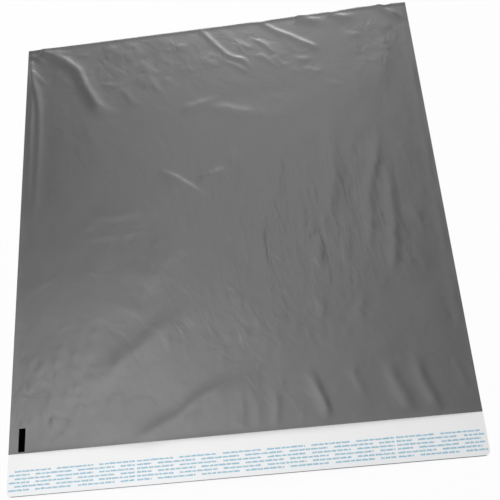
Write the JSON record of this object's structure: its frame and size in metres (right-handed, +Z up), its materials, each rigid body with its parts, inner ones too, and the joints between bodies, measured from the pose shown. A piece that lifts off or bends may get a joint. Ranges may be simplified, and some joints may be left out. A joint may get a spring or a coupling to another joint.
{
  "type": "poly mailer bag",
  "caption": "Empty plastic-film mailing bag lying flat: folded closed end, welded sides, open mouth, and a flap with an adhesive band under a peel-off liner.",
  "frame": {"origin": "on the surface that the bag lies on, under the middle of its outline", "axes": "+Y runs from the flap's free edge to the folded end, +Z points up out of the front panel, +X is to the right when seen from the flap"},
  "size_m": [0.61, 0.688, 0.0106],
  "materials": {
    "grey_film": "satin grey outside, white inside",
    "adhesive": "tacky, clear cream",
    "liner": "smooth pale blue-white with small blue print",
    "black_ink": "flat black ink"
  },
  "bodies": {
    "root": {"bag_film": "grey_film", "adhesive_strip": "adhesive", "release_liner": "liner", "registration_mark": "black_ink"}
  },
  "joints": []
}
